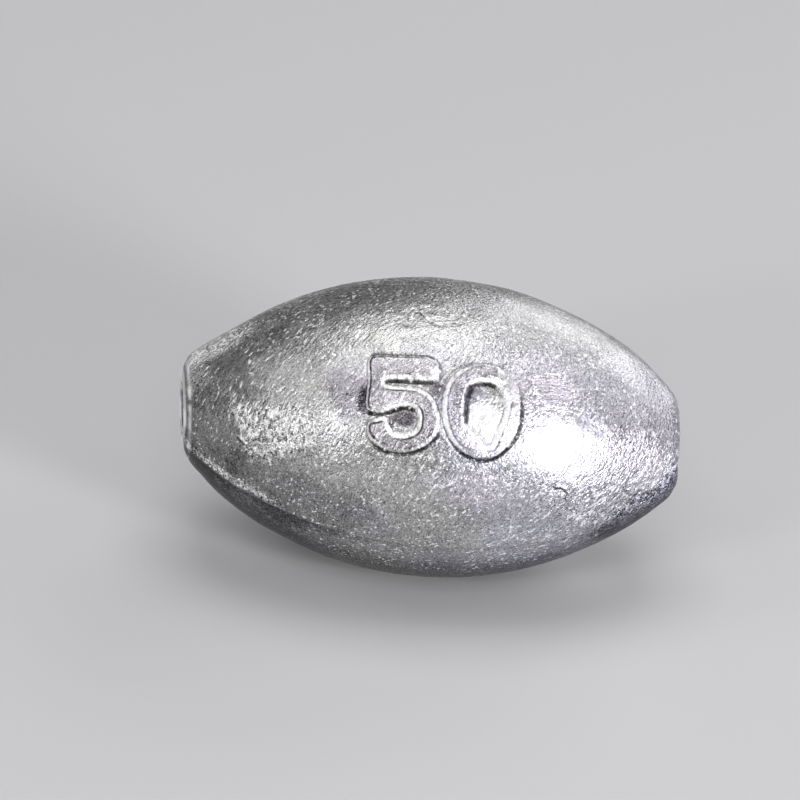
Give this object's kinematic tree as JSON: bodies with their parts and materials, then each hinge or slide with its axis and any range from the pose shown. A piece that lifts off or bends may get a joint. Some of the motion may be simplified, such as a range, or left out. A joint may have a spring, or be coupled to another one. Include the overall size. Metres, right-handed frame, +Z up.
{
  "type": "fishing sinker",
  "caption": "Barrel-shaped cast lead sinker with a hole through its length, which slides on a fishing line and carries the bait down.",
  "frame": {"origin": "on the axis of the line hole, midway between the two end faces", "axes": "+X along the line hole, +Z up with the sinker lying on its side, -Y the side that carries the raised weight mark"},
  "size_m": [0.029, 0.0175, 0.0174],
  "materials": {
    "cast_lead": "as-cast lead, satin, finely pitted, with brighter rubbed edges"
  },
  "bodies": {
    "root": {"cast_body": "cast_lead"}
  },
  "joints": []
}
